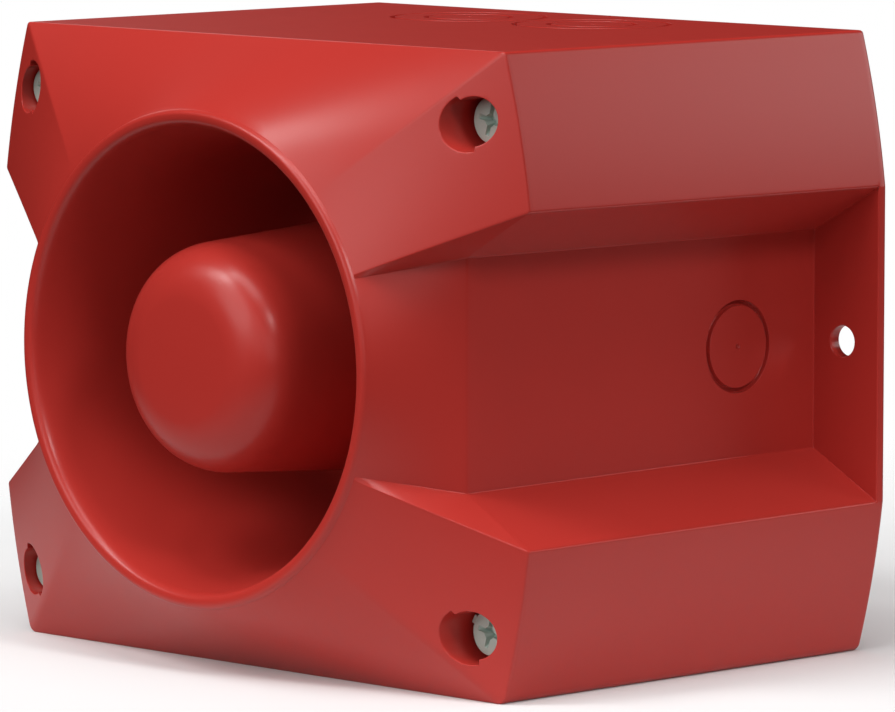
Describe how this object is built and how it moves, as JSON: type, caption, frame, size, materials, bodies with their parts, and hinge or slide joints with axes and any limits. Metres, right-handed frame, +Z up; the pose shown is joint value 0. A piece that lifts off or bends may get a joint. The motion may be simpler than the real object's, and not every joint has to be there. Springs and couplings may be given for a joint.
{
  "type": "alarm sounder",
  "caption": "Wall-mounted horn alarm sounder with a folded horn, lift-off front cover, quarter-turn cover screws and a driver inside.",
  "frame": {"origin": "centre of the rear face that lies against the wall", "axes": "+Z up, +Y into the wall, horn faces -Y, +X to the right of a viewer behind the camera side"},
  "size_m": [0.1686, 0.1373, 0.14],
  "materials": {
    "red_plastic": "satin moulded plastic, fine spark-eroded texture",
    "black_rubber": "matte moulded rubber",
    "zinc_steel": "dull zinc plating",
    "brass": "turned brass",
    "steel": "turned, lightly plated",
    "ferrite": "sintered ferrite ceramic, matte",
    "phenolic_film": "pressed phenolic film",
    "copper": "enamelled copper winding",
    "black_plastic": "matte moulded plastic",
    "green_plastic": "matte moulded plastic",
    "blue_plastic": "matte moulded plastic",
    "white_plastic": "matte moulded plastic",
    "green_laminate": "solder-masked glass laminate",
    "can_sleeve": "shrunk plastic sleeve on an aluminium can",
    "red_wire": "extruded wire insulation"
  },
  "bodies": {
    "base": {"housing": "red_plastic", "cover_gasket": "black_rubber", "terminal_board": "green_laminate", "terminal_block": "green_plastic", "contact_header": "black_plastic", "terminal_board_screw_1": "zinc_steel", "terminal_board_screw_2": "zinc_steel", "screw_receptacle_1": "brass", "screw_receptacle_2": "brass", "screw_receptacle_3": "brass", "screw_receptacle_4": "brass"},
    "cover": {"front_cover": "red_plastic", "bullet": "red_plastic", "throat_tube": "black_plastic", "driver_gasket": "black_rubber", "driver_clamp_ring": "black_plastic", "top_plate": "steel", "magnet": "ferrite", "pole_piece": "steel", "main_board": "green_laminate", "contact_socket": "black_plastic", "dip_switch": "blue_plastic", "volume_trimmer": "blue_plastic", "capacitor_large": "can_sleeve", "capacitor_small": "can_sleeve", "inductor": "copper", "controller_chip": "black_plastic", "power_transistor": "black_plastic", "driver_lead_red": "red_wire", "driver_lead_black": "black_plastic", "bullet_screw_1": "zinc_steel", "bullet_screw_2": "zinc_steel", "bullet_screw_3": "zinc_steel", "driver_screw_1": "zinc_steel", "driver_screw_2": "zinc_steel", "driver_screw_3": "zinc_steel", "main_board_screw_1": "zinc_steel", "main_board_screw_2": "zinc_steel", "main_board_screw_3": "zinc_steel", "main_board_screw_4": "zinc_steel", "screw_seal_1": "black_rubber", "screw_seal_2": "black_rubber", "screw_seal_3": "black_rubber", "screw_seal_4": "black_rubber"},
    "diaphragm": {"diaphragm": "phenolic_film", "voice_coil": "copper"},
    "trimmer_rotor": {"trimmer_rotor": "white_plastic"},
    "cover_screw_1": {"cover_screw_1": "zinc_steel"},
    "terminal_screw_1": {"terminal_screw_1": "zinc_steel"},
    "dip_lever_1": {"dip_lever_1": "white_plastic"},
    "cover_screw_2": {"cover_screw_2": "zinc_steel"},
    "terminal_screw_2": {"terminal_screw_2": "zinc_steel"},
    "dip_lever_2": {"dip_lever_2": "white_plastic"},
    "cover_screw_3": {"cover_screw_3": "zinc_steel"},
    "terminal_screw_3": {"terminal_screw_3": "zinc_steel"},
    "dip_lever_3": {"dip_lever_3": "white_plastic"},
    "cover_screw_4": {"cover_screw_4": "zinc_steel"},
    "terminal_screw_4": {"terminal_screw_4": "zinc_steel"},
    "dip_lever_4": {"dip_lever_4": "white_plastic"}
  },
  "joints": [
    {"name": "cover_lift_off", "type": "slide", "parent": "base", "child": "cover", "axis": [0, -1, 0], "range_m": [0, 0.12]},
    {"name": "cover_screw_1_turn", "type": "hinge", "parent": "cover", "child": "cover_screw_1", "pos_m": [0.0706, -0.112, 0.0551], "axis": [0, 1, 0], "range_deg": [0, 90]},
    {"name": "cover_screw_2_turn", "type": "hinge", "parent": "cover", "child": "cover_screw_2", "pos_m": [-0.0706, -0.112, 0.0551], "axis": [0, 1, 0], "range_deg": [0, 90]},
    {"name": "cover_screw_3_turn", "type": "hinge", "parent": "cover", "child": "cover_screw_3", "pos_m": [-0.0706, -0.112, -0.0551], "axis": [0, -1, 0], "range_deg": [0, 90]},
    {"name": "cover_screw_4_turn", "type": "hinge", "parent": "cover", "child": "cover_screw_4", "pos_m": [0.0706, -0.112, -0.0551], "axis": [0, -1, 0], "range_deg": [0, 90]},
    {"name": "diaphragm_travel", "type": "slide", "parent": "cover", "child": "diaphragm", "axis": [0, -1, 0], "range_m": [-0.0003, 0.0003], "stiffness_N_per_m": 4000},
    {"name": "volume_adjust", "type": "hinge", "parent": "cover", "child": "trimmer_rotor", "pos_m": [0.008, -0.0262, 0.018], "axis": [0, -1, 0], "range_deg": [-135, 135]},
    {"name": "dip_lever_1_slide", "type": "slide", "parent": "cover", "child": "dip_lever_1", "axis": [0, 0, 1], "range_m": [0, 0.002]},
    {"name": "dip_lever_2_slide", "type": "slide", "parent": "cover", "child": "dip_lever_2", "axis": [0, 0, 1], "range_m": [0, 0.002]},
    {"name": "dip_lever_3_slide", "type": "slide", "parent": "cover", "child": "dip_lever_3", "axis": [0, 0, 1], "range_m": [0, 0.002]},
    {"name": "dip_lever_4_slide", "type": "slide", "parent": "cover", "child": "dip_lever_4", "axis": [0, 0, 1], "range_m": [0, 0.002]},
    {"name": "terminal_screw_1_turn", "type": "hinge", "parent": "base", "child": "terminal_screw_1", "pos_m": [-0.0005, -0.0208, -0.0465], "axis": [0, 1, 0], "continuous": true},
    {"name": "terminal_screw_2_turn", "type": "hinge", "parent": "base", "child": "terminal_screw_2", "pos_m": [0.0065, -0.0208, -0.0465], "axis": [0, 1, 0], "continuous": true},
    {"name": "terminal_screw_3_turn", "type": "hinge", "parent": "base", "child": "terminal_screw_3", "pos_m": [0.0135, -0.0208, -0.0465], "axis": [0, 1, 0], "continuous": true},
    {"name": "terminal_screw_4_turn", "type": "hinge", "parent": "base", "child": "terminal_screw_4", "pos_m": [0.0205, -0.0208, -0.0465], "axis": [0, 1, 0], "continuous": true}
  ]
}
